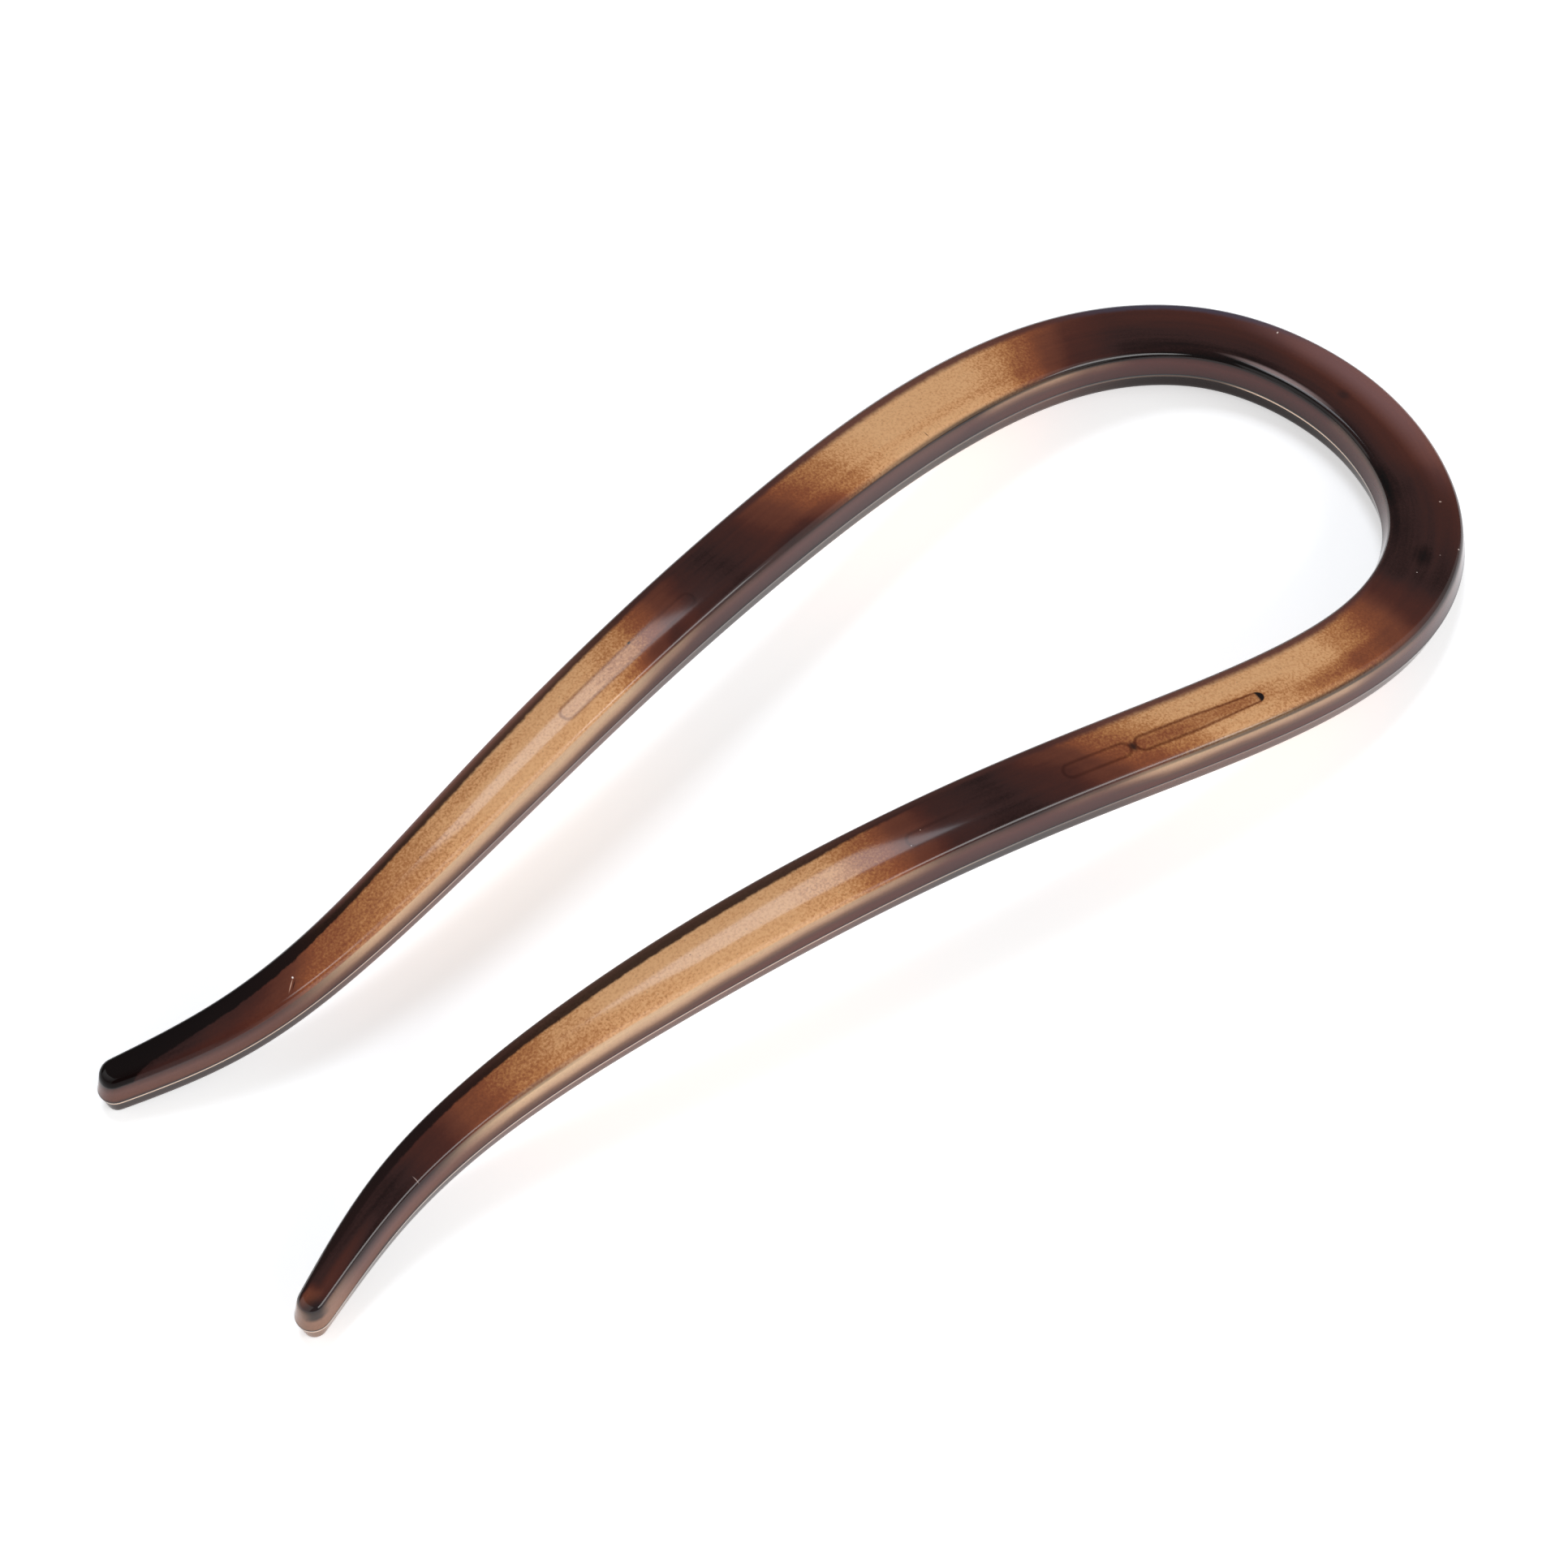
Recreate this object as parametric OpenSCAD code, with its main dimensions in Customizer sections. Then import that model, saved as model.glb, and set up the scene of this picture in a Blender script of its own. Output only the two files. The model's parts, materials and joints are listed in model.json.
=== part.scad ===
// French hair pin: one moulded U of plastic, arched to follow the head, lying on its two tips
// and the end of its bow. X runs along the pin towards the bow, Y across it, Z up.
// The origin is on the surface that it lies on, under the middle of the pin.

/* [Outline from above] */
// Length from the tips to the end of the bow
pin_length = 112; // [90:1:140]
// Greatest outside width, across the bow
bow_width = 42; // [32:0.5:50]
// Clear gap between the legs at their closest, the waist
waist_gap = 12.6; // [8:0.1:18]
// Outside width across the two tips
tip_spread = 26; // [20:0.5:34]

/* [Leg] */
// Width of the leg round the bow
leg_width = 6.2; // [4.8:0.1:7.6]
// Width of the leg at its tip
tip_width = 2.8; // [2.2:0.1:3.6]
// Thickness from the underside to the edges of the top
thickness = 4.2; // [3.5:0.1:6]
// Height of the moulding's parting line above the underside
parting_height = 2; // [1.2:0.1:2.4]
// How far the thin flash along the parting line stands out
flash = 0.06; // [0.02:0.01:0.12]

/* [Edges and top] */
// How far the upper wall leans in between the parting line and the top
upper_draft = 0.3; // [0.1:0.05:0.4]
// How far the lower wall leans in between the parting line and the underside
lower_draft = 0.45; // [0.2:0.05:0.5]
// Radius of the edge between the upper wall and the top
edge_radius = 0.6; // [0.3:0.05:0.7]
// Radius of the edge between the lower wall and the underside
base_radius = 0.3; // [0.15:0.05:0.35]
// Rise of the middle of the top over its edges where the legs are most rounded
crown_rise = 0.38; // [0:0.02:0.8]

/* [Arch] */
// Rise of the middle of the pin over its two ends
arch_height = 9; // [2:0.5:16]
// How much the arch flattens towards its ends, 0 for a plain parabola
arch_ease = 0.55; // [0:0.05:0.7]
// How far the highest part of the arch leans towards the tips, 0 for an even arch
arch_lean = 0.22; // [0:0.02:0.3]

/* [Smoothness] */
// Cross sections between two guide rows
rings_per_row = 8; // [4:1:10]
// Cross sections round each tip
rings_per_tip = 5; // [3:1:8]

/* [Hidden] */

bow_radius = (bow_width - leg_width) / 2;
tip_radius = tip_width / 2;
leg_run = pin_length - leg_width / 2 - bow_radius - tip_radius;

// How wide the leg is at the waist, between tip_width at 0 and leg_width at 1
WAIST_SHARE = 0.47;

// The right half of the centre line, as guide rows from the end of the bow to the tip.
// back: distance from the end of the bow, as a share of the bow's radius
// along: distance further on, as a share of the leg's run
// bow, waist, tip: distance out from the axis, as shares of the three half spreads
// width: 1 for leg_width, 0 for tip_width
// crown: share of crown_rise
GUIDE = [
    // back,  along, bow,  waist, tip,  width, crown
    [-0.045,  0,     0,    0,     0,    0.99,  0],
    [0.09,    0,     0.52, 0,     0,    1.02,  0],
    [0.38,    0,     0.83, 0,     0,    1.05,  0],
    [0.87,    0,     1.01, 0,     0,    1.04,  0],
    [1,       0.125, 0.98, 0.02,  0,    1.06,  0.3],
    [1,       0.305, 0.68, 0.32,  0,    0.95,  0.45],
    [1,       0.48,  0.4,  0.6,   0,    0.89,  0.72],
    [1,       0.645, 0.15, 0.85,  0,    0.8,   1],
    [1,       0.785, 0,    0.97,  0,    WAIST_SHARE, 0.41],
    [1,       0.9,   0,    0.92,  0.05, 0.33,  0.11],
    [1,       1,     0,    0,     1,    0,     0.02]
];

function leg_width_at(share) = tip_width + share * (leg_width - tip_width);

bow_half = bow_radius;
waist_half = (waist_gap + leg_width_at(WAIST_SHARE)) / 2;
tip_half = tip_spread / 2 - tip_radius;

// One guide row in millimetres: [x, y, width, crown]
function guide_point(row) = [
    pin_length / 2 - leg_width / 2 - row[0] * bow_radius - row[1] * leg_run,
    row[2] * bow_half + row[3] * waist_half + row[4] * tip_half,
    leg_width_at(row[5]),
    row[6] * crown_rise
];

half_guide = [for (row = GUIDE) guide_point(row)];
row_count = len(half_guide);

function mirrored(point) = [point[0], -point[1], point[2], point[3]];
function run_on(last, before) = 2 * last - before;

// Both legs in one run, from the left tip round the bow to the right tip, with a row run on past each tip
legs_guide = [
    for (i = [row_count - 1 : -1 : 1]) mirrored(half_guide[i]),
    for (i = [0 : row_count - 1]) half_guide[i]
];
guide_count = len(legs_guide);
guide = [
    run_on(legs_guide[0], legs_guide[1]),
    for (point = legs_guide) point,
    run_on(legs_guide[guide_count - 1], legs_guide[guide_count - 2])
];

// A smooth curve guided by four rows (uniform cubic B-spline), and its direction
function curve(i, t) = (
    pow(1 - t, 3) * guide[i]
    + (3 * pow(t, 3) - 6 * pow(t, 2) + 4) * guide[i + 1]
    + (-3 * pow(t, 3) + 3 * pow(t, 2) + 3 * t + 1) * guide[i + 2]
    + pow(t, 3) * guide[i + 3]
) / 6;
function slope(i, t) = (
    -pow(1 - t, 2) * guide[i]
    + (3 * pow(t, 2) - 4 * t) * guide[i + 1]
    + (-3 * pow(t, 2) + 2 * t + 1) * guide[i + 2]
    + pow(t, 2) * guide[i + 3]
) / 2;
function heading(i, t) = let (s = slope(i, t)) [s[0], s[1]] / norm([s[0], s[1]]);

// How much of the edge's rounding is left to the crown, in degrees, so that the two meet smoothly.
// Each round brings the angle closer.
function crown_lean(edge, crown, rounds, lean = 0) =
    rounds == 0 ? lean
    : crown_lean(edge, crown, rounds - 1, atan(
        2 * (crown + edge_radius * (1 - cos(lean))) / (edge - edge_radius * (1 - sin(lean)))
    ));

// Half of a cross section, from the underside up to the top: [distance from the middle, height]
EDGE_SHARES = [0, 1 / 3, 2 / 3, 1];
CROWN_SHARES = [0.66, 0.3];
LEAN_ROUNDS = 5;
function half_section(width, crown) =
    let (
        half = width / 2,
        base = half - lower_draft,
        edge = half - upper_draft,
        lean = crown_lean(edge, crown, LEAN_ROUNDS),
        top_half = edge - edge_radius * (1 - sin(lean)),
        top_edge = thickness - edge_radius * (1 - cos(lean)),
        top_middle = thickness + crown
    )
    [
        [base - base_radius, 0],
        [base - base_radius * (1 - sin(45)), base_radius * (1 - cos(45))],
        [base, base_radius],
        [half - flash, parting_height - flash],
        [half, parting_height],
        [half - flash, parting_height + flash],
        for (share = EDGE_SHARES) let (turn = share * (90 - lean)) [
            edge - edge_radius * (1 - cos(turn)),
            thickness - edge_radius * (1 - sin(turn))
        ],
        for (share = CROWN_SHARES)
            [top_half * share, top_middle - (top_middle - top_edge) * share * share]
    ];

// Height of the underside above the surface: the ends of the flat underside touch it
foot_half = pin_length / 2 - lower_draft - base_radius;
function arch(x) =
    let (s = x / foot_half)
    arch_height * (1 - s * s) * (1 - arch_ease * s * s - arch_lean * s);
function on_arch(x, y, z) = [x, y, z + arch(x)];

// A cross section as a closed ring, right side upwards and left side downwards. sweep turns its
// points about the end of the centre line, for the round tips, and is 0 along the legs.
function ring(middle, along, sweep) =
    let (
        side = [along[1], -along[0]],
        half = half_section(middle[2], middle[3]),
        count = len(half)
    )
    [
        for (i = [0 : 2 * count - 1])
        let (
            right = i < count,
            point = right ? half[i] : half[2 * count - 1 - i],
            across = (right ? 1 : -1) * point[0] * cos(sweep),
            ahead = point[0] * sin(abs(sweep)) * sign(sweep)
        )
        on_arch(
            middle[0] + side[0] * across + along[0] * ahead,
            middle[1] + side[1] * across + along[1] * ahead,
            point[1]
        )
    ];

TIP_SWEEP_ANGLE = 84;
spans = guide_count - 1;
tip_sweeps = [for (k = [1 : rings_per_tip]) TIP_SWEEP_ANGLE * k / rings_per_tip];
rings = [
    for (k = [rings_per_tip - 1 : -1 : 0]) ring(curve(0, 0), heading(0, 0), -tip_sweeps[k]),
    for (i = [0 : spans - 1], k = [0 : rings_per_row - 1])
        ring(curve(i, k / rings_per_row), heading(i, k / rings_per_row), 0),
    ring(curve(spans - 1, 1), heading(spans - 1, 1), 0),
    for (k = [0 : rings_per_tip - 1]) ring(curve(spans - 1, 1), heading(spans - 1, 1), tip_sweeps[k])
];

// A skin over the rings, closed at each tip by a ladder of narrow faces between its two sides
module skin(rings) {
    size = len(rings[0]);
    last = (len(rings) - 1) * size;
    walls = [
        for (r = [0 : len(rings) - 2], i = [0 : size - 1])
        let (a = r * size + i, b = r * size + (i + 1) % size)
        each [[a, b + size, a + size], [a, b, b + size]]
    ];
    start = [
        for (i = [0 : size / 2 - 2])
        let (a = i, b = size - 1 - i)
        each [[b, a + 1, a], [b, b - 1, a + 1]]
    ];
    end = [for (face = start) [last + face[2], last + face[1], last + face[0]]];
    polyhedron(points = [for (r = rings) each r], faces = concat(walls, start, end), convexity = 6);
}

module hair_pin() {
    color([0.36, 0.22, 0.14])
        skin(rings);
}

hair_pin();
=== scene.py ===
import json
from math import cos, radians, sin

import bpy
import numpy as np
from mathutils import Matrix, Vector
from mathutils.kdtree import KDTree

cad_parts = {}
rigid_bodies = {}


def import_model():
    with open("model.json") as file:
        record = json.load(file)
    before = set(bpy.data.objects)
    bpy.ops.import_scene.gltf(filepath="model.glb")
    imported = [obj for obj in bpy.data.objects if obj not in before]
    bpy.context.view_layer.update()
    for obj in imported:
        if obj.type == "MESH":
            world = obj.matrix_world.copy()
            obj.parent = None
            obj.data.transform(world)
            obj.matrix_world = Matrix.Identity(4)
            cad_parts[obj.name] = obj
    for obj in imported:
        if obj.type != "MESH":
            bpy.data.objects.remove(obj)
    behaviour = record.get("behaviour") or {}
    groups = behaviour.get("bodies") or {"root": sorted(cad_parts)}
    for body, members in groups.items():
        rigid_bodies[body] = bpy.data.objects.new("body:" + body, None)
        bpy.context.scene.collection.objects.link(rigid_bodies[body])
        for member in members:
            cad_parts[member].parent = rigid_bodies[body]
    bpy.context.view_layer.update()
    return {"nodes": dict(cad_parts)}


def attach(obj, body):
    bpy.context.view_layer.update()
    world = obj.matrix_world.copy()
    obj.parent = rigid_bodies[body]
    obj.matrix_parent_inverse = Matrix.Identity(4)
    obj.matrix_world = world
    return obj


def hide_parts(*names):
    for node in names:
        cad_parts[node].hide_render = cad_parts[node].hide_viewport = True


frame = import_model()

mm = 0.001

# The pin: how the solid is smoothed, and the guide of its centre line, in mm and degrees
pin = {
    "mergeDistance": 0.002,
    "quadAngle": 60,           # triangles that meet flatter than this become quads
    "smoothLevels": 1,
    "sharpAngle": 40,          # edges that turn more than this stay sharp
    "topHeight": 4.2,          # top edge above the underside
    "partingHeight": 2.0,      # parting line above the underside
    # the arch: its height, how much it eases off and leans towards an end, and half its span
    "archHeight": 9.0,
    "archEase": 0.55,
    "archLean": 0.22,
    "footHalf": 55.25,
    # centre line of the far leg from the end of the bow to the tip: x, y, leg width
    "centreLine": [
        (53.7, 0.0, 6.17), (51.3, 9.3, 6.27), (46.1, 14.9, 6.36), (37.3, 18.1, 6.34),
        (23.8, 17.7, 6.4), (7.7, 14.9, 6.03), (-8.0, 12.3, 5.83), (-22.8, 9.9, 5.52),
        (-35.3, 8.3, 4.4), (-45.6, 8.4, 3.92), (-54.6, 11.6, 2.8),
    ],
    "samplesPerRow": 40,
    "legJoin": 4.0,            # width of the strip at the end of the bow where the legs' patterns meet
    "legBlend": (0.3, 0.7),    # shares of that strip between which they blend
    "reach": 125.0,            # distance from the end of the bow that the rows of stops lie within
}


def deselectAll():
    if bpy.context.object and bpy.context.object.mode != "OBJECT":
        bpy.ops.object.mode_set(mode="OBJECT")
    bpy.ops.object.select_all(action="DESELECT")


# Height of the underside above the surface that the pin rests on
def archAt(x):
    share = x / pin["footHalf"]
    return pin["archHeight"] * (1 - share ** 2) * (1 - pin["archEase"] * share ** 2 - pin["archLean"] * share)


# Smooth curve led by the guide rows: its points, each x, y and leg width, and the distance along it
def smoothCentreLine():
    rows = np.array(pin["centreLine"])
    before = rows[1] * [1, -1, 1]
    after = 2 * rows[-1] - rows[-2]
    rows = np.vstack([before, rows, after])
    t = np.arange(pin["samplesPerRow"]) / pin["samplesPerRow"]
    weights = np.column_stack([
        (1 - t) ** 3, 3 * t ** 3 - 6 * t ** 2 + 4, -3 * t ** 3 + 3 * t ** 2 + 3 * t + 1, t ** 3,
    ]) / 6
    points = np.vstack([weights @ rows[i:i + 4] for i in range(len(rows) - 3)] + [rows[-2:-1]])
    steps = np.linalg.norm(np.diff(points[:, :2], axis=0), axis=1)
    return points, np.concatenate([[0], np.cumsum(steps)])


print("stage: pin")
deselectAll()
source = frame["nodes"]["hair_pin"]
source.select_set(True)
bpy.context.view_layer.objects.active = source
bpy.ops.object.duplicate()
body = bpy.context.object
body.name = "hairPinBody"
body.data.name = "hairPinBody"
bpy.ops.object.parent_clear(type="CLEAR_KEEP_TRANSFORM")
bpy.ops.object.mode_set(mode="EDIT")
bpy.ops.mesh.select_all(action="SELECT")
bpy.ops.mesh.remove_doubles(threshold=pin["mergeDistance"] * mm)
bpy.ops.mesh.normals_make_consistent(inside=False)
bpy.ops.mesh.tris_convert_to_quads(face_threshold=radians(pin["quadAngle"]), shape_threshold=radians(180))
bpy.ops.object.mode_set(mode="OBJECT")
smoothing = body.modifiers.new("smoothing", "SUBSURF")
smoothing.levels = pin["smoothLevels"]
smoothing.render_levels = pin["smoothLevels"]
bpy.ops.object.modifier_apply(modifier=smoothing.name)
bpy.ops.object.shade_smooth_by_angle(angle=radians(pin["sharpAngle"]))
print("pin faces", len(body.data.polygons))

# Each vertex gets its place on the leg: along, across and height in mm, its inset from the wall, and
# a share that runs from 0 on the near leg to 1 on the far leg
print("stage: places on the pin")
points, distances = smoothCentreLine()
tree = KDTree(len(points))
for index, point in enumerate(points):
    tree.insert((point[0], point[1], 0), index)
tree.balance()
vertexCount = len(body.data.vertices)
coordinates = np.empty(vertexCount * 3)
body.data.vertices.foreach_get("co", coordinates)
coordinates = coordinates.reshape(-1, 3) / mm
places = {name: np.empty(vertexCount) for name in ("along", "across", "inset")}
for i, (x, y) in enumerate(coordinates[:, :2]):
    index = tree.find((x, abs(y), 0))[1]
    index = min(max(index, 1), len(points) - 2)
    forward = points[index + 1, :2] - points[index - 1, :2]
    forward = forward / np.linalg.norm(forward)
    offset = np.array([x, abs(y)]) - points[index, :2]
    outward = forward[1] * offset[0] - forward[0] * offset[1]
    places["along"][i] = distances[index] + offset @ forward
    places["across"][i] = outward
    places["inset"][i] = points[index, 2] / 2 - abs(outward)
places["height"] = coordinates[:, 2] - archAt(coordinates[:, 0])
places["farLeg"] = np.clip(coordinates[:, 1] / pin["legJoin"] + 0.5, 0, 1)
for name, values in places.items():
    attribute = body.data.attributes.new(name, "FLOAT", "POINT")
    attribute.data.foreach_set("value", values.astype(np.float32))

# How the plastic shines, and how much brighter its pigments are than they look in this light
plastic = {
    "pigmentGain": 1.5,
    "refraction": 1.49,
    "roughness": 0.1,
    "gloss": 0.5,
    "wallDullness": 0.14,      # how much less gloss the walls have than the top
    "lowerDullness": 0.31,     # and how much less again below the parting line
    "lowerFade": (-0.2, 0.0),  # heights from the parting line between which that ends
}


# Colour from the red, green and blue that it looks like, 0 to 255
def shade(red, green, blue):
    values = []
    for channel in (red, green, blue):
        part = channel / 255
        values.append(part / 12.92 if part <= 0.04045 else ((part + 0.055) / 1.055) ** 2.4)
    return (*[value * plastic["pigmentGain"] for value in values], 1.0)


# A material, built up from small operations on numbers and colours
class Graph:
    def __init__(self, name):
        self.material = bpy.data.materials.new(name)
        self.material.use_nodes = True
        self.nodes = self.material.node_tree.nodes
        self.links = self.material.node_tree.links
        self.nodes.clear()

    def put(self, value, socket):
        if isinstance(value, bpy.types.NodeSocket):
            self.links.new(value, socket)
        else:
            socket.default_value = value

    def attribute(self, name):
        node = self.nodes.new("ShaderNodeAttribute")
        node.attribute_name = name
        return node.outputs["Fac"]

    def math(self, operation, *values, clamp=False):
        node = self.nodes.new("ShaderNodeMath")
        node.operation = operation
        node.use_clamp = clamp
        for socket, value in zip(node.inputs, values):
            self.put(value, socket)
        return node.outputs[0]

    def add(self, first, second, clamp=False):
        return self.math("ADD", first, second, clamp=clamp)

    def minus(self, first, second):
        return self.math("SUBTRACT", first, second)

    def times(self, first, second, clamp=False):
        return self.math("MULTIPLY", first, second, clamp=clamp)

    # value times factor, plus shift
    def scale(self, value, factor, shift):
        return self.math("MULTIPLY_ADD", value, factor, shift)

    def absolute(self, value):
        return self.math("ABSOLUTE", value)

    def hypotenuse(self, first, second):
        squares = self.add(self.math("POWER", first, 2.0), self.math("POWER", second, 2.0))
        return self.math("SQRT", squares)

    # 0 below low, 1 above high, smooth in between
    def step(self, value, low, high):
        node = self.nodes.new("ShaderNodeMapRange")
        node.interpolation_type = "SMOOTHSTEP"
        self.put(value, node.inputs["Value"])
        self.put(low, node.inputs["From Min"])
        self.put(high, node.inputs["From Max"])
        return node.outputs[0]

    # 1 below low, 0 above high
    def fade(self, value, low, high):
        return self.minus(1.0, self.step(value, low, high))

    # 1 up to a distance from the middle, 0 beyond a greater one
    def near(self, value, middle, full, gone):
        return self.fade(self.absolute(self.minus(value, middle)), full, gone)

    # number or colour from stops that lie between low and high
    def ramp(self, value, stops, low, high, interpolation="EASE"):
        node = self.nodes.new("ShaderNodeValToRGB")
        node.color_ramp.interpolation = interpolation
        elements = node.color_ramp.elements
        for number, (stop, _) in enumerate(stops):
            share = (stop - low) / (high - low)
            element = elements[number] if number < 2 else elements.new(share)
            element.position = share
        elements = sorted(elements, key=lambda element: element.position)
        for element, (_, colour) in zip(elements, stops):
            element.color = colour if isinstance(colour, tuple) else (colour, colour, colour, 1)
        self.put(self.math("DIVIDE", self.minus(value, low), high - low), node.inputs["Fac"])
        return node.outputs["Color"]

    def shadeRamp(self, value, stops, low, high):
        return self.ramp(value, [(stop, shade(*colour)) for stop, colour in stops], low, high, "LINEAR")

    def mix(self, factor, first, second, blend="MIX"):
        node = self.nodes.new("ShaderNodeMix")
        node.data_type = "RGBA"
        node.blend_type = blend
        self.put(factor, node.inputs[0])
        self.put(first, node.inputs[6])
        self.put(second, node.inputs[7])
        return node.outputs[2]

    # lays a shade over what is under it
    def paint(self, under, mask, colour):
        return self.mix(mask, under, shade(*colour))

    def noise(self, vector, scale, detail, roughness):
        node = self.nodes.new("ShaderNodeTexNoise")
        self.put(vector, node.inputs["Vector"])
        node.inputs["Scale"].default_value = scale
        node.inputs["Detail"].default_value = detail
        node.inputs["Roughness"].default_value = roughness
        return node.outputs["Fac"]


print("stage: tortoiseshell plastic")
shell = Graph("tortoiseshellPlastic")
place = shell.nodes.new("ShaderNodeTexCoord").outputs["Object"]
alongMm = shell.attribute("along")
acrossMm = shell.attribute("across")
insetMm = shell.attribute("inset")
heightMm = shell.attribute("height")
farLeg = shell.step(shell.attribute("farLeg"), *pin["legBlend"])
side = shell.scale(farLeg, 2.0, -1.0)        # -1 on the near leg, 1 on the far leg
signed = shell.times(alongMm, side)          # along, below 0 on the near leg


# Value along the legs, from a row of stops for each leg. The ramps hold 0 to 1, so the values are
# stretched to that and back
def alongLegs(value, rows):
    amounts = [amount for stops in rows.values() for _, amount in stops]
    lowest = min(amounts)
    span = max(amounts) - lowest
    ramps = []
    for name in ("nearLeg", "farLeg"):
        stops = [(distance, (amount - lowest) / span) for distance, amount in rows[name]]
        ramps.append(shell.ramp(value, stops, 0, pin["reach"]))
    return shell.scale(shell.mix(farLeg, *ramps), span, lowest)


# Shares of the way out between which a soft oval fades
ovalFade = (0.15, 1.0)


# 1 in the middle of a soft oval, 0 outside it. The lean is how far it runs on per mm across
def oval(alongPlace, acrossPlace, halfLength, halfWidth, lean=0):
    sideways = shell.minus(acrossMm, acrossPlace)
    ahead = shell.minus(signed, alongPlace)
    if lean:
        ahead = shell.minus(ahead, shell.times(sideways, lean))
    onward = shell.math("DIVIDE", ahead, halfLength)
    sideways = shell.math("DIVIDE", sideways, halfWidth)
    return shell.fade(shell.hypotenuse(onward, sideways), *ovalFade)


# Tortoiseshell pattern. Tone runs from 0, tan, to 1, black. Rows along the legs hold the distance in
# mm from the end of the bow and the value there, noises their scale, detail and roughness
pattern = {
    "tone": {
        "farLeg": [
            (0, 0.73), (5, 0.76), (10, 0.85), (20, 0.87), (24, 0.76), (26.5, 0.6), (29, 0.42),
            (31.5, 0.21), (35, 0.05), (44, 0.01), (47, 0.12), (50, 0.29), (53, 0.46), (56, 0.66),
            (59, 0.84), (62, 0.92), (65, 0.87), (67.5, 0.66), (70, 0.45), (73, 0.23), (77, 0.07),
            (86, 0.03), (90, 0.11), (94, 0.24), (98, 0.34), (102, 0.43), (106, 0.68), (110, 0.87),
            (114, 0.95), (118, 1.0),
        ],
        "nearLeg": [
            (0, 0.73), (6, 0.76), (10, 0.87), (19, 0.92), (22, 0.78), (25, 0.52), (28, 0.3),
            (31, 0.09), (36, 0.04), (43, 0.08), (47, 0.25), (50, 0.42), (53, 0.64), (57, 0.84),
            (60, 0.92), (64, 0.86), (67, 0.64), (70, 0.4), (74, 0.16), (78, 0.06), (90, 0.03),
            (94, 0.16), (98, 0.32), (102, 0.52), (106, 0.79), (110, 0.94), (114, 0.94), (118, 0.9),
        ],
    },
    # change of tone per mm towards the outside
    "tilt": {
        "farLeg": [
            (0, -0.09), (6, -0.09), (12, -0.05), (24, -0.03), (30, 0), (106, 0), (112, 0.05), (119, 0.05),
        ],
        "nearLeg": [(0, -0.09), (6, -0.08), (13, -0.03), (18, 0), (119, 0)],
    },
    # how far the pattern runs ahead along the leg, per mm towards the outside
    "slant": {
        "farLeg": [
            (0, 0), (20, 0), (25, 0.4), (35, 0.4), (42, 0), (48, -0.5), (57, -0.5), (62, 0), (66, 0.3),
            (74, 0.3), (80, 0), (90, 0), (97, 0.8), (119, 0.8),
        ],
        "nearLeg": [(0, 0), (38, 0), (45, 0.9), (56, 0.9), (63, 0), (119, 0)],
    },
    "shades": [
        (0.0, (191, 147, 105)), (0.12, (184, 136, 93)), (0.3, (152, 100, 60)), (0.45, (119, 66, 41)),
        (0.6, (91, 49, 35)), (0.75, (66, 33, 26)), (0.9, (45, 26, 24)), (0.96, (26, 12, 11)),
        (1.0, (7, 5, 5)),
    ],
    "swirlNoise": (260.0, 2.0, 0.5),
    "swirlShift": 2.6,               # mm along the leg
    "streaksPerMm": (0.07, 1.5),     # along and across
    "streakNoise": (1.0, 3.0, 0.6),
    "streakShift": 0.14,             # of the tone
    # specks are strongest on the tan side of each change, between these tones
    "speckNoise": (5200.0, 1.5, 0.6),
    "speckStart": (0.0, 0.12),
    "speckEnd": (0.3, 0.62),
    "speckAtChange": 0.42,
    "speckElsewhere": 0.06,
    # dark pinholes and fine grain, in the tones below these
    "pinholeGrain": 1700.0,
    "pinholeEdge": (0.06, 0.16),
    "pinholeEnd": (0.2, 0.5),
    "pinholeStrength": 0.3,
    "pinholeShade": (96, 58, 34),
    "grainEnd": (0.15, 0.5),
    "grainMiddle": 0.46,
    "grainStrength": 1.3,
    "grainShade": (142, 92, 56),
}

# Soft patches in the pattern: distance from the end of the bow (below 0 on the near leg), place
# across the leg (above 0 towards the outside), half length, half width, shift of the tone
patches = [
    (-16.6, 0.0, 1.6, 1.1, 0.06),
    (1.2, -0.4, 0.8, 0.7, 0.1),
    (-31.0, 1.3, 8.5, 1.2, 0.2),
    (40.0, -1.4, 14.0, 0.6, 0.09),
    (-43.0, 0.6, 8.0, 1.1, 0.2),
    (-38.0, 0.5, 5.0, 1.3, 0.16),
    (-32.0, 2.3, 9.0, 1.3, 0.2),
    (-46.0, 2.2, 7.0, 1.3, 0.09),
    (54.0, -2.2, 5.0, 1.1, 0.16),
    (70.5, -2.1, 5.0, 1.1, 0.24),
    (86.0, 0.6, 6.0, 0.9, 0.14),
    (-91.0, 1.7, 9.0, 1.5, 0.1),
    (-116.5, 0.5, 6.0, 0.7, -0.16),
    (-118.9, -0.3, 1.3, 1.3, -0.3),
]

speck = shell.noise(place, *pattern["speckNoise"])
swirl = shell.minus(shell.noise(place, *pattern["swirlNoise"]), 0.5)
warped = shell.add(alongMm, shell.times(swirl, pattern["swirlShift"]))
warped = shell.add(warped, shell.times(alongLegs(alongMm, pattern["slant"]), acrossMm))
tone = alongLegs(warped, pattern["tone"])
tone = shell.add(tone, shell.times(alongLegs(alongMm, pattern["tilt"]), acrossMm))
for *spot, shift in patches:
    tone = shell.add(tone, shell.times(oval(*spot), shift))

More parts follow.
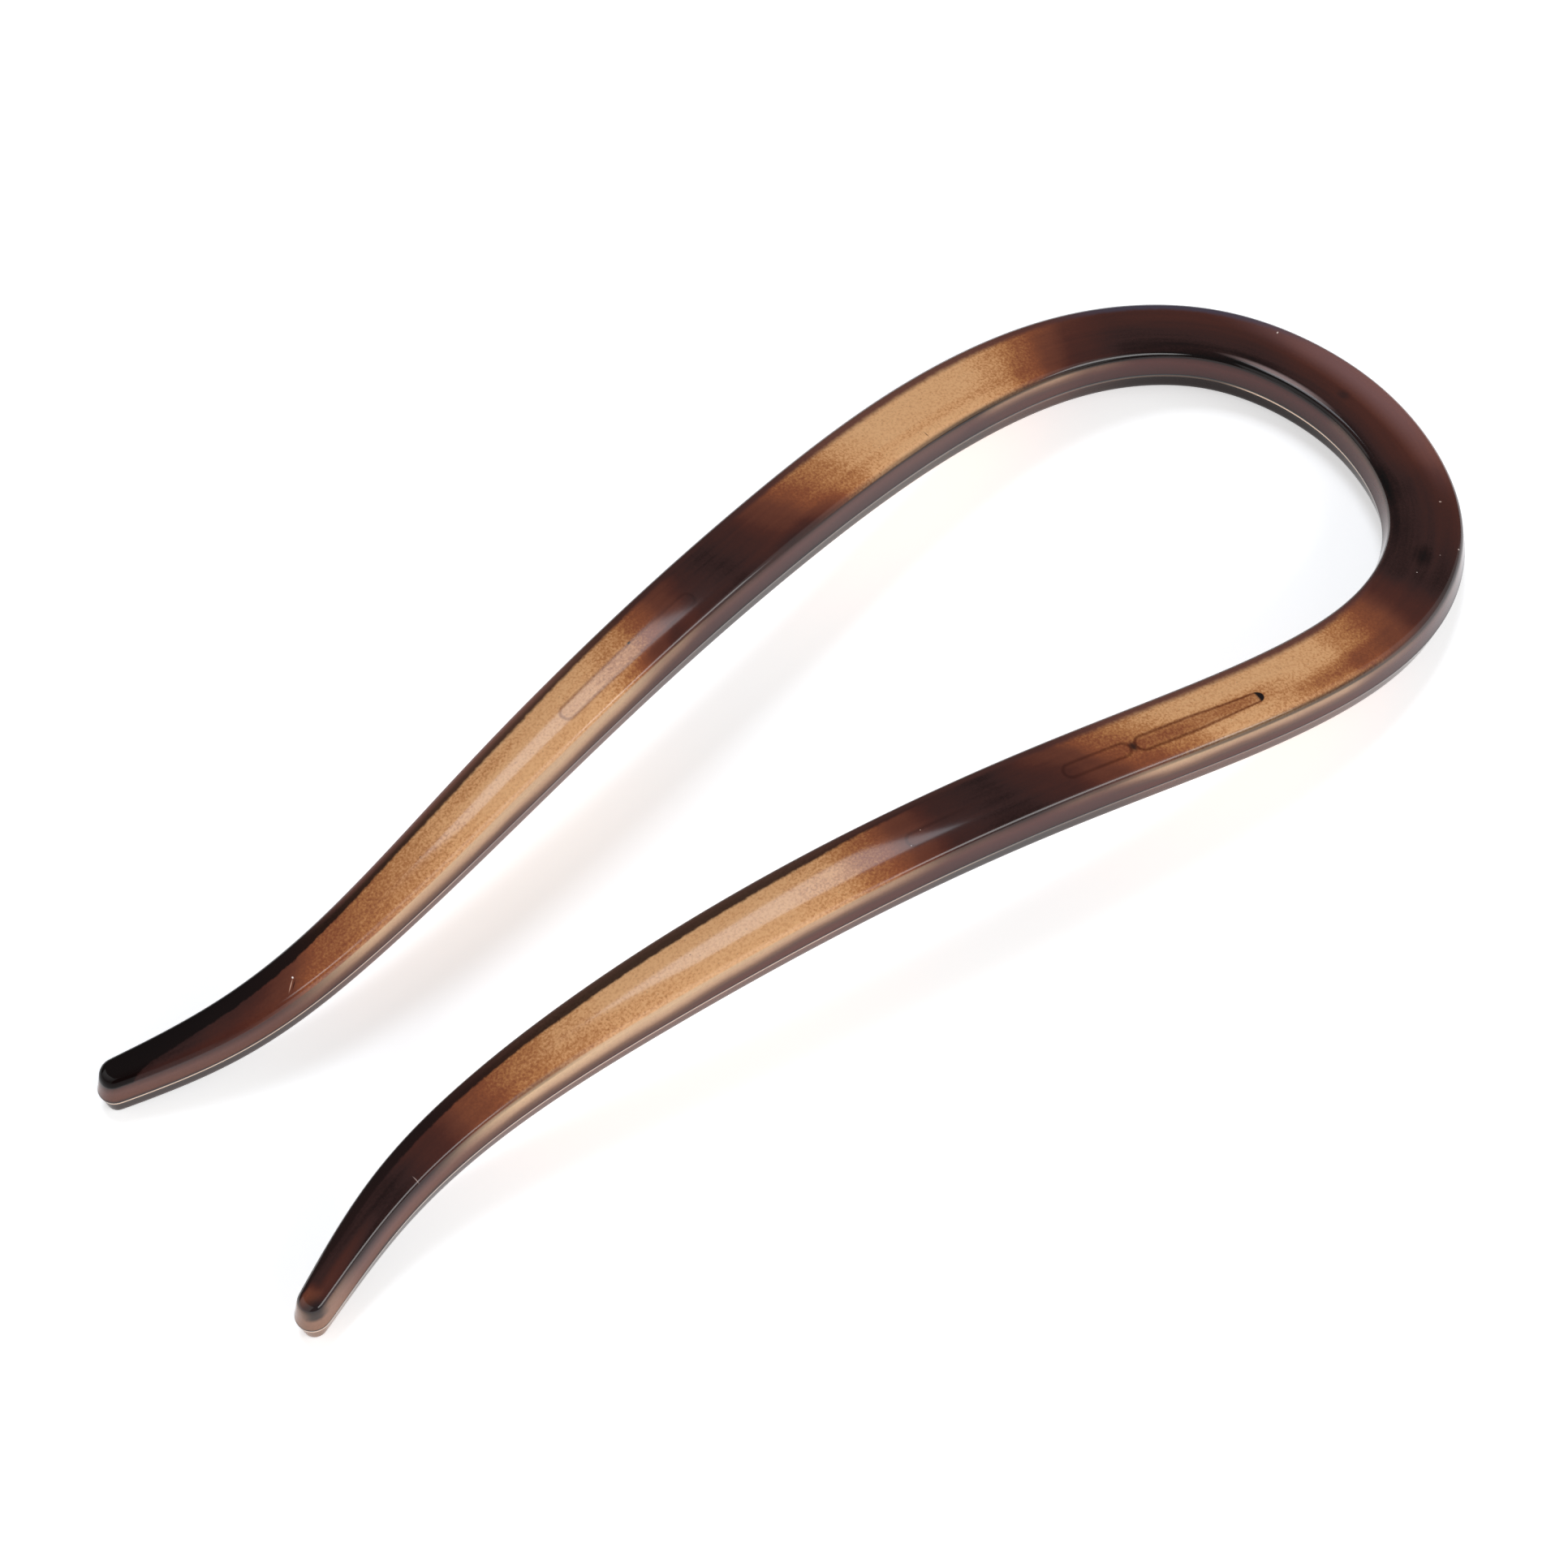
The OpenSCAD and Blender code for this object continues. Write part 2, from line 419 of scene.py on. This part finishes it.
# Flow streaks along the legs
stretched = shell.nodes.new("ShaderNodeCombineXYZ")
for socket, distance, perMm in zip(stretched.inputs, (signed, acrossMm), pattern["streaksPerMm"]):
    shell.put(shell.times(distance, perMm), socket)
streak = shell.minus(shell.noise(stretched.outputs[0], *pattern["streakNoise"]), 0.5)
tone = shell.add(tone, shell.times(streak, pattern["streakShift"]), clamp=True)

# Specks
changing = shell.times(shell.step(tone, *pattern["speckStart"]), shell.fade(tone, *pattern["speckEnd"]))
speckAmount = shell.scale(changing, pattern["speckAtChange"], pattern["speckElsewhere"])
speckled = shell.add(tone, shell.times(shell.minus(speck, 0.5), speckAmount), clamp=True)
topShade = shell.shadeRamp(speckled, pattern["shades"], 0, 1)

# Pinholes
pinholes = shell.nodes.new("ShaderNodeTexVoronoi")
shell.put(place, pinholes.inputs["Vector"])
pinholes.inputs["Scale"].default_value = pattern["pinholeGrain"]
hole = shell.fade(pinholes.outputs["Distance"], *pattern["pinholeEdge"])
hole = shell.times(hole, shell.fade(tone, *pattern["pinholeEnd"]))
topShade = shell.paint(topShade, shell.times(hole, pattern["pinholeStrength"]), pattern["pinholeShade"])

# Fine grain
grain = shell.times(shell.minus(speck, pattern["grainMiddle"]), pattern["grainStrength"], clamp=True)
grain = shell.times(grain, shell.fade(tone, *pattern["grainEnd"]))
topShade = shell.paint(topShade, grain, pattern["grainShade"])

# Painted shade: a dark band on the top along the edge that faces away, standing in for the far wall seen
# through the clear plastic, with a ragged border, in mm
farEdgeShade = {
    "width": {
        "farLeg": [
            (0, 0.3), (4, 0.8), (8, 1.1), (12, 1.2), (24, 1.2), (30, 1.35), (46, 1.35), (56, 1.15),
            (66, 1.1), (75, 1.28), (82, 1.4), (90, 1.42), (95, 1.35), (100, 1.5), (106, 1.75),
            (112, 1.9), (116, 2.2), (119, 3.0),
        ],
        "nearLeg": [
            (0, 0.2), (18, 0.5), (25, 1.0), (30, 1.25), (50, 1.25), (60, 1.05), (70, 1.2), (75, 1.4),
            (80, 1.48), (86, 1.54), (92, 1.53), (98, 1.4), (106, 1.38), (112, 1.25), (119, 0.8),
        ],
    },
    # how black it is, from soft purple-brown at 0 to black at 1
    "depth": {
        "farLeg": [
            (0, 0.1), (20, 0.4), (26, 0.3), (31, 0.15), (48, 0.15), (54, 0.45), (61, 0.65), (70, 0.62),
            (86, 0.72), (96, 0.9), (102, 1.0), (119, 1.0),
        ],
        "nearLeg": [
            (0, 0.5), (20, 0.4), (28, 0.12), (48, 0.12), (56, 0.5), (66, 0.72), (80, 0.84), (96, 0.9),
            (106, 0.95), (119, 0.9),
        ],
    },
    "softShade": (88, 51, 45),
    "deepShade": (10, 4, 4),
    # softness of the border where the band is soft and where it is black
    "softBorder": 0.34,
    "deepBorder": 0.08,
    "raggedNoise": (1800.0, 3.0, 0.7),
    "raggedDepth": 0.3,
    # painted highlight: how much paler it is at the very edge, and how far in that reaches
    "pale": {
        "farLeg": [(0, 0), (72, 0), (80, 0.75), (97, 0.65), (104, 0), (119, 0)],
        "nearLeg": [(0, 0), (56, 0), (66, 0.14), (98, 0.14), (106, 0), (119, 0)],
    },
    "paleReach": (0.65, 1.15),
    "paleShade": (112, 72, 64),
    # painted reflection of a cool light: the outer edge of the bow is bluer, on both sides of this distance
    # on the far leg
    "blueMiddle": 15.0,
    "blueReach": (4.4, 11.0),
    "blueReflectionShade": (60, 53, 64),
    "strength": 0.95,
}

# Painted shade along the edge that faces away, laid over the pattern
ragged = shell.minus(shell.noise(place, *farEdgeShade["raggedNoise"]), 0.5)
halfWide = shell.add(insetMm, shell.absolute(acrossMm))
fromFarEdge = shell.minus(halfWide, shell.times(acrossMm, side))
raggedBorder = shell.add(fromFarEdge, shell.times(ragged, farEdgeShade["raggedDepth"]))
pastFarEdgeShade = shell.minus(raggedBorder, alongLegs(alongMm, farEdgeShade["width"]))
farEdgeShadeDepth = alongLegs(alongMm, farEdgeShade["depth"])
border = shell.scale(farEdgeShadeDepth, farEdgeShade["deepBorder"] - farEdgeShade["softBorder"], farEdgeShade["softBorder"])
farEdgeShadeMask = shell.fade(pastFarEdgeShade, shell.times(border, -1.0), border)
farEdgeShadeColour = shell.mix(farEdgeShadeDepth, shade(*farEdgeShade["softShade"]), shade(*farEdgeShade["deepShade"]))
# painted bluish reflection on the bow's outer rounded edge
paintedBlueReflection = shell.near(signed, farEdgeShade["blueMiddle"], *farEdgeShade["blueReach"])
farEdgeShadeColour = shell.paint(farEdgeShadeColour, paintedBlueReflection, farEdgeShade["blueReflectionShade"])
# painted soft highlight at the very edge of the band
paintedEdgeHighlight = shell.times(shell.fade(fromFarEdge, *farEdgeShade["paleReach"]), alongLegs(alongMm, farEdgeShade["pale"]))
farEdgeShadeColour = shell.paint(farEdgeShadeColour, paintedEdgeHighlight, farEdgeShade["paleShade"])
topShade = shell.mix(shell.times(farEdgeShadeMask, farEdgeShade["strength"]), topShade, farEdgeShadeColour)

# Soft haze on the outside of the bow. A spot holds the same columns as a patch, up to the half width
haze = {"spot": (1.0, 2.0, 13.0, 2.2), "strength": 0.55, "shade": (112, 86, 88)}
topShade = shell.paint(topShade, shell.times(oval(*haze["spot"]), haze["strength"]), haze["shade"])

# Gas bubbles inside the legs: distance from the end of the bow (below 0 on the near leg) of both
# ends, place across the leg, half width, how much the first end narrows, how dark the outline is at
# the first and the last end, and length of a dark cap on the first end
bubbles = [
    {"ends": (-37.4, -48.6), "across": 0.68, "radius": 0.74, "taper": 0.5, "dark": (0.8, 0.7), "cap": 0.6},
    {"ends": (-48.9, -54.6), "across": 0.64, "radius": 0.68, "taper": 0.0, "dark": (0.6, 0.4), "cap": 0.0},
    {"ends": (79.4, 65.5), "across": -0.72, "radius": 0.66, "taper": 0.0, "dark": (0.5, 0.3), "cap": 0.0},
    {"ends": (-67.4, -60.5), "across": 0.6, "radius": 0.62, "taper": 0.0, "dark": (0.45, 0.05), "cap": 0.0},
]
bubbleLook = {
    "taperShare": 0.6,                        # share of the length that narrows
    "outlineInset": 0.09,                     # mm from the side
    "outlineHalf": (0.02, 0.22),              # mm
    "outlineFilter": (0.27, 0.13, 0.08, 1),   # what it lets through of the colour under it
    "insideEdge": 0.85,                       # share of the half width
    "insideStrength": 0.8,
    "insideFilter": (0.84, 0.79, 0.8, 1),
    "capEdge": 0.6,                           # share of its length
    "capRound": (0.95, 1.1),                  # shares of the half width
    "capShade": (20, 12, 12),
}
# Dark spot where two bubbles almost meet
pinch = {"spot": (-48.75, 0.66, 0.42, 0.66), "strength": 0.9, "shade": (30, 16, 14)}


# A dark outline round a slightly darker inside
def drawBubble(bubble, under):
    start, end = bubble["ends"]
    radius = bubble["radius"]
    run = abs(end - start)
    inward = shell.times(shell.minus(signed, start), 1.0 if end > start else -1.0)
    fromMiddle = shell.absolute(shell.minus(inward, run / 2))
    beyond = shell.math("MAXIMUM", shell.minus(fromMiddle, run / 2 - radius), 0.0)
    tapering = shell.step(inward, 0.0, run * bubbleLook["taperShare"])
    narrow = shell.scale(tapering, -bubble["taper"], 1.0 + bubble["taper"])
    sideways = shell.times(shell.minus(acrossMm, bubble["across"]), narrow)
    reachOut = shell.hypotenuse(beyond, sideways)
    first, last = bubble["dark"]
    strength = shell.scale(shell.step(inward, 0.0, run), last - first, first)
    within = shell.fade(reachOut, radius * bubbleLook["insideEdge"], radius)
    inside = shell.times(within, shell.times(strength, bubbleLook["insideStrength"]))
    painted = shell.mix(inside, under, bubbleLook["insideFilter"], "MULTIPLY")
    outline = shell.near(reachOut, radius - bubbleLook["outlineInset"], *bubbleLook["outlineHalf"])
    painted = shell.mix(shell.times(outline, strength), painted, bubbleLook["outlineFilter"], "MULTIPLY")
    if bubble["cap"]:
        ending = shell.fade(inward, bubble["cap"] * bubbleLook["capEdge"], bubble["cap"])
        rounded = shell.fade(reachOut, *[radius * share for share in bubbleLook["capRound"]])
        painted = shell.paint(painted, shell.times(ending, rounded), bubbleLook["capShade"])
    return painted


for bubble in bubbles:
    topShade = drawBubble(bubble, topShade)
topShade = shell.paint(topShade, shell.times(oval(*pinch["spot"]), pinch["strength"]), pinch["shade"])

# Side walls below the top edge. Heights are above the underside, in mm
walls = {
    # share of tan, from 0, dark, to 1
    "tan": {
        "farLeg": [
            (0, 0), (19, 0), (24, 0.2), (28, 0.62), (33, 0.5), (37, 0.05), (50, 0.03), (58, 0.02),
            (65, 0.08), (70, 0.4), (76, 0.9), (100, 1.0), (106, 0.75), (119, 0.6),
        ],
        "nearLeg": [
            (0, 0.1), (22, 0.03), (28, 0.3), (32, 0.75), (47, 0.85), (53, 0.2), (58, 0.02), (64, 0.08),
            (70, 0.6), (76, 0.95), (102, 1.0), (108, 0.8), (119, 0.8),
        ],
    },
    # how far the tan streak stays short of its full depth, in mm
    "short": {
        "farLeg": [(0, 0.6), (34, 0.5), (40, 0.1), (66, 0.4), (76, 0.15), (84, 0), (119, 0)],
        "nearLeg": [
            (0, 0.6), (28, 0.5), (34, 0.42), (40, 0.38), (46, 0.3), (52, 0.6), (66, 0.6), (76, 0.55),
            (82, 0.4), (88, 0.1), (119, 0.1),
        ],
    },
    "shortFade": (0.0, 0.4),         # heights above the parting line between which that begins
    "streakShift": 0.9,              # mm up or down the wall
    # height, shade; the near-black stop at the top edge is painted shade under the edge's highlight
    "darkShades": [
        (0.0, (26, 17, 16)), (1.9, (26, 17, 16)), (2.1, (50, 26, 25)), (3.2, (68, 33, 30)),
        (3.7, (56, 25, 22)), (4.0, (24, 11, 10)),
    ],
    "tanShades": [
        (0.0, (64, 38, 32)), (1.0, (78, 48, 40)), (1.6, (80, 44, 36)), (1.95, (76, 40, 32)),
        (2.2, (74, 48, 38)), (2.5, (104, 73, 55)), (2.9, (160, 126, 99)), (3.4, (180, 149, 117)),
        (4.0, (184, 151, 120)),
    ],
    "tipShades": [
        (0.0, (44, 28, 25)), (1.2, (38, 24, 22)), (1.95, (36, 23, 21)), (2.3, (86, 50, 38)),
        (2.9, (86, 53, 45)), (3.5, (54, 31, 28)), (4.0, (30, 15, 14)),
    ],
    "tipsFrom": (98.0, 108.0),       # distance from the end of the bow
    # pale end of the near tip
    "pale": {
        "farLeg": [(0, 0), (119, 0)],
        "nearLeg": [(0, 0), (114.5, 0), (118.5, 0.5), (120, 0.6)],
    },
    "paleShade": (142, 107, 86),
    "speckMiddle": 0.42,
    "speckStrength": 0.35,
    "speckShade": (40, 26, 24),
    # the parting line, and the pale rim under it, a painted highlight along the flash
    "lineShade": (12, 8, 8),
    "lineHalf": (0.027, 0.081),
    "rim": {
        "farLeg": [(0, 0.9), (7, 0.8), (12, 0.1), (88, 0.1), (95, 0.6), (119, 0.8)],
        "nearLeg": [(0, 0.9), (6, 0.8), (12, 0.1), (58, 0.1), (67, 0.4), (80, 0.55), (119, 0.7)],
    },
    "rimDrop": 0.24,
    "rimHalf": (0.05, 0.15),
    "rimHighlightShade": (214, 184, 162),
}


def wallRamp(value, name):
    return shell.shadeRamp(value, walls[name], 0, pin["topHeight"])


aboveLine = shell.minus(heightMm, pin["partingHeight"])
wallHeight = shell.add(heightMm, shell.times(streak, walls["streakShift"]))
tanShort = shell.times(alongLegs(alongMm, walls["short"]), shell.step(aboveLine, *walls["shortFade"]))
tanShade = wallRamp(shell.minus(wallHeight, tanShort), "tanShades")
wallShade = shell.mix(alongLegs(alongMm, walls["tan"]), wallRamp(wallHeight, "darkShades"), tanShade)
wallShade = shell.mix(shell.step(alongMm, *walls["tipsFrom"]), wallShade, wallRamp(wallHeight, "tipShades"))
wallShade = shell.paint(wallShade, alongLegs(alongMm, walls["pale"]), walls["paleShade"])
wallSpeck = shell.times(shell.minus(speck, walls["speckMiddle"]), walls["speckStrength"], clamp=True)
wallShade = shell.paint(wallShade, wallSpeck, walls["speckShade"])
# painted highlight: pale rim just under the parting line
paintedRimHighlight = shell.near(aboveLine, -walls["rimDrop"], *walls["rimHalf"])
paintedRimHighlight = shell.times(paintedRimHighlight, alongLegs(alongMm, walls["rim"]))
wallShade = shell.paint(wallShade, paintedRimHighlight, walls["rimHighlightShade"])
wallShade = shell.paint(wallShade, shell.near(aboveLine, 0.0, *walls["lineHalf"]), walls["lineShade"])

# Where the top's pattern gives way to the walls, and the top edge between them, in mm
edges = {
    "topFade": (0.45, 0.25),         # below the top edge
    # how far the pattern runs down over the rounded edge
    "spill": {
        "farLeg": [(0, 0), (84, 0), (98, 0.25), (108, 0.42), (119, 0.42)],
        "nearLeg": [(0, 0), (119, 0)],
    },
    # the underside carries the pattern too: height above it, and inset from the wall
    "underHeight": (0.05, 0.2),
    "underInset": (0.85, 1.05),
    # strength of the painted shade line under the top edge, where the rounded edge mirrors the dark studio
    "line": {
        "farLeg": [
            (0, 0.8), (12, 0.8), (22, 0.95), (30, 0.75), (36, 0.85), (50, 0.5), (60, 0.2), (70, 0),
            (119, 0),
        ],
        "nearLeg": [
            (0, 0.3), (26, 0.6), (30, 0.8), (42, 0.75), (50, 0.45), (58, 0.15), (68, 0), (92, 0),
            (98, 0.5), (103, 0.2), (119, 0.2),
        ],
    },
    "lineHeight": 3.85,
    "lineHalf": (0.1, 0.32),
    # where the edge is worn, and so rougher
    "worn": {
        "farLeg": [(0, 0), (76, 0), (82, 1), (98, 1), (104, 0), (119, 0)],
        "nearLeg": [(0, 0), (66, 0), (73, 1), (98, 1), (103, 0), (119, 0)],
    },
    "wornRoughness": 0.35,
    # where it has less gloss
    "dull": {
        "farLeg": [(0, 0.35), (12, 0.3), (18, 0), (104, 0), (109, 1), (119, 1)],
        "nearLeg": [(0, 0), (27, 0), (33, 0.35), (38, 0.35), (42, 0), (119, 0)],
    },
    "dullness": 0.4,
    "wornHeight": 3.8,
    "wornHalf": (0.2, 0.45),
}

raised = shell.add(heightMm, alongLegs(alongMm, edges["spill"]))
isTop = shell.step(raised, *[pin["topHeight"] - drop for drop in edges["topFade"]])
isUnder = shell.times(shell.fade(heightMm, *edges["underHeight"]), shell.step(insetMm, *edges["underInset"]))
surface = shell.mix(shell.math("MAXIMUM", isTop, isUnder), wallShade, topShade)
# Painted shade: a dark line under the top edge
paintedEdgeShade = shell.near(heightMm, edges["lineHeight"], *edges["lineHalf"])
paintedEdgeShade = shell.times(paintedEdgeShade, alongLegs(alongMm, edges["line"]))
surface = shell.paint(surface, paintedEdgeShade, walls["lineShade"])

# Flecks and hairlines on the top, pale or dark: distance from the end of the bow, place across, half
# length, half width, lean, shade
flecks = [
    (-11.0, 1.23, 0.09, 0.14, 0, (170, 146, 136)),
    (-16.1, 1.24, 0.06, 0.07, 0, (140, 122, 116)),
    (-18.5, 0.08, 0.06, 0.06, 0, (190, 176, 168)),
    (8.4, 1.85, 0.08, 0.16, 0, (200, 184, 174)),
    (-15.1, 2.5, 0.07, 0.09, 0, (190, 172, 164)),
    (-67.2, 0.95, 0.05, 0.05, 0, (206, 190, 182)),
    (-66.0, 0.15, 0.05, 0.05, 0, (214, 180, 160)),
    (105.3, -0.62, 0.09, 0.12, 0, (236, 222, 214)),
    (93.5, -0.45, 0.12, 0.06, 0, (60, 36, 26)),
    (41.2, -2.2, 0.05, 0.42, 0, (74, 44, 30)),
    (-108.4, 1.25, 0.05, 0.4, 0, (140, 120, 114)),
    (71.7, -0.12, 0.22, 0.16, 0, (26, 18, 18)),
    (-84.5, 0.3, 0.1, 0.05, 0, (70, 44, 30)),
    # painted highlight: the long pale streak on the rounded inner edge of the bow
    (6.0, -2.2, 7.0, 0.32, 0, (120, 102, 100)),
    (105.7, -1.0, 0.07, 0.42, -1.1, (196, 156, 134)),
    (105.5, -1.08, 0.08, 0.36, -1.1, (40, 18, 14)),
]
# Dark spot inside the end of the near tip, which begins between two heights
tipSpot = {"spot": (-119.4, 0.7, 1.3, 1.15), "heights": (2.8, 3.2), "strength": 0.85, "shade": (22, 20, 22)}

for *spot, fleckShade in flecks:
    surface = shell.paint(surface, shell.times(oval(*spot), isTop), fleckShade)
spotMask = shell.times(oval(*tipSpot["spot"]), shell.step(heightMm, *tipSpot["heights"]))
surface = shell.paint(surface, shell.times(spotMask, tipSpot["strength"]), tipSpot["shade"])

# Gloss
edgeMask = shell.near(heightMm, edges["wornHeight"], *edges["wornHalf"])
worn = shell.times(edgeMask, alongLegs(alongMm, edges["worn"]))
dull = shell.times(edgeMask, alongLegs(alongMm, edges["dull"]))
isLower = shell.fade(aboveLine, *plastic["lowerFade"])
wallDull = shell.scale(isLower, plastic["lowerDullness"], plastic["wallDullness"])
wallDull = shell.times(wallDull, shell.minus(1.0, isTop))
duller = shell.math("MAXIMUM", wallDull, shell.times(dull, edges["dullness"]))
principled = shell.nodes.new("ShaderNodeBsdfPrincipled")
shell.put(surface, principled.inputs["Base Color"])
shell.put(shell.scale(worn, edges["wornRoughness"], plastic["roughness"]), principled.inputs["Roughness"])
shell.put(plastic["refraction"], principled.inputs["IOR"])
shell.put(shell.minus(plastic["gloss"], duller), principled.inputs["Specular IOR Level"])
output = shell.nodes.new("ShaderNodeOutputMaterial")
shell.put(principled.outputs[0], output.inputs["Surface"])
body.data.materials.clear()
body.data.materials.append(shell.material)

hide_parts("hair_pin")
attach(body, "root")

# The studio. A softbox hangs in the direction that towards gives, in metres away, and turn is the
# direction of its length seen from above. Shares of length and width below 1 nest smaller boxes in
# one corner, so that the other sides fade out
studio = {
    "worldStrength": 0.12,
    "floorSize": 4,
    "floorShade": (0.95, 0.95, 0.95),
    "floorRoughness": 0.9,
    "floorGlow": 0.5,
    "softboxes": {
        "sheen": {
            "towards": (0.194, 0.321, 1.0), "turn": 21.0, "away": 1.2, "size": (0.668, 0.35), "watts": 7.2,
            "tint": (0.86, 0.92, 1.0), "shares": ((0.63, 0.9), (0.76, 0.95), (0.9, 1.0)),
        },
        "front": {
            "towards": (0.217, -0.81, 0.545), "turn": 15, "away": 1.8, "size": (1.84, 0.64), "watts": 16.0,
            "tint": (1.0, 1.0, 1.0), "shares": ((1.0, 1.0),),
        },
        "side": {
            "towards": (0.71, -0.6, 0.375), "turn": 50, "away": 1.8, "size": (2.8, 2.0), "watts": 9.0,
            "tint": (1.0, 1.0, 1.0), "shares": ((1.0, 1.0),),
        },
        "left": {
            "towards": (-0.88, 0.2, 0.45), "turn": 90, "away": 1.8, "size": (2.8, 2.0), "watts": 12.0,
            "tint": (1.0, 1.0, 1.0), "shares": ((1.0, 1.0),),
        },
    },
}

print("stage: floor and light")
deselectAll()
bpy.ops.mesh.primitive_plane_add(size=studio["floorSize"])
floor = bpy.context.object
floor.name = "studioFloor"
floorPaint = bpy.data.materials.new("paleFloor")
floorPaint.use_nodes = True
floorShader = floorPaint.node_tree.nodes["Principled BSDF"].inputs
floorShader["Base Color"].default_value = (*studio["floorShade"], 1)
floorShader["Roughness"].default_value = studio["floorRoughness"]
floorShader["Specular IOR Level"].default_value = 0.0
floorShader["Emission Color"].default_value = (1, 1, 1, 1)
floorShader["Emission Strength"].default_value = studio["floorGlow"]
floor.data.materials.append(floorPaint)

world = bpy.data.worlds.new("studio")
bpy.context.scene.world = world
world.use_nodes = True
world.node_tree.nodes["Background"].inputs["Color"].default_value = (1, 1, 1, 1)
world.node_tree.nodes["Background"].inputs["Strength"].default_value = studio["worldStrength"]


def addSoftbox(name, box):
    direction = Vector(box["towards"]).normalized()
    turn = radians(box["turn"])
    sideways = direction.cross(Vector((cos(turn), sin(turn), 0))).normalized()
    lengthwise = sideways.cross(direction)
    length, width = box["size"]
    for number, (longShare, wideShare) in enumerate(box["shares"]):
        middle = direction * box["away"] - lengthwise * length * (1 - longShare) / 2
        middle += sideways * width * (1 - wideShare) / 2
        bpy.ops.object.light_add(type="AREA", location=middle)
        lamp = bpy.context.object
        lamp.name = f"{name}Softbox{number}"
        lamp.rotation_euler = Matrix((lengthwise, sideways, direction)).transposed().to_euler()
        lamp.data.color = box["tint"]
        lamp.data.shape = "RECTANGLE"
        lamp.data.size = length * longShare
        lamp.data.size_y = width * wideShare
        lamp.data.energy = box["watts"] * longShare * wideShare / len(box["shares"])


for name, box in studio["softboxes"].items():
    addSoftbox(name, box)

# The photograph's camera: height and turn of its view in degrees, how its picture is placed in mm,
# and its scale and focal length in pixels
camera = {
    "elevation": 55.35,
    "azimuth": 39.49,
    "right": 2.98,
    "up": -1.01,
    "pixelsPerMm": 16.86,
    "focalPixels": 6000.0,
    "framePixels": 1932.0,
    "sensorWidth": 36,         # mm
    "clipStart": 0.01,         # m
}

print("stage: camera")
elevation = radians(camera["elevation"])
azimuth = radians(camera["azimuth"])
right = Vector((cos(azimuth), -sin(azimuth), 0))
upward = Vector((sin(azimuth) * sin(elevation), cos(azimuth) * sin(elevation), cos(elevation)))
forward = Vector((sin(azimuth) * cos(elevation), cos(azimuth) * cos(elevation), -sin(elevation)))
distance = camera["focalPixels"] / camera["pixelsPerMm"]
bpy.ops.object.camera_add()
viewer = bpy.context.object
viewer.name = "photoCamera"
viewer.matrix_world = Matrix.Translation(
    -(camera["right"] * right + camera["up"] * upward + distance * forward) * mm
) @ Matrix((right, upward, -forward)).transposed().to_4x4()
viewer.data.sensor_width = camera["sensorWidth"]
viewer.data.lens = camera["sensorWidth"] * camera["focalPixels"] / camera["framePixels"]
viewer.data.clip_start = camera["clipStart"]
bpy.context.scene.camera = viewer
bpy.context.scene.view_settings.view_transform = "Standard"
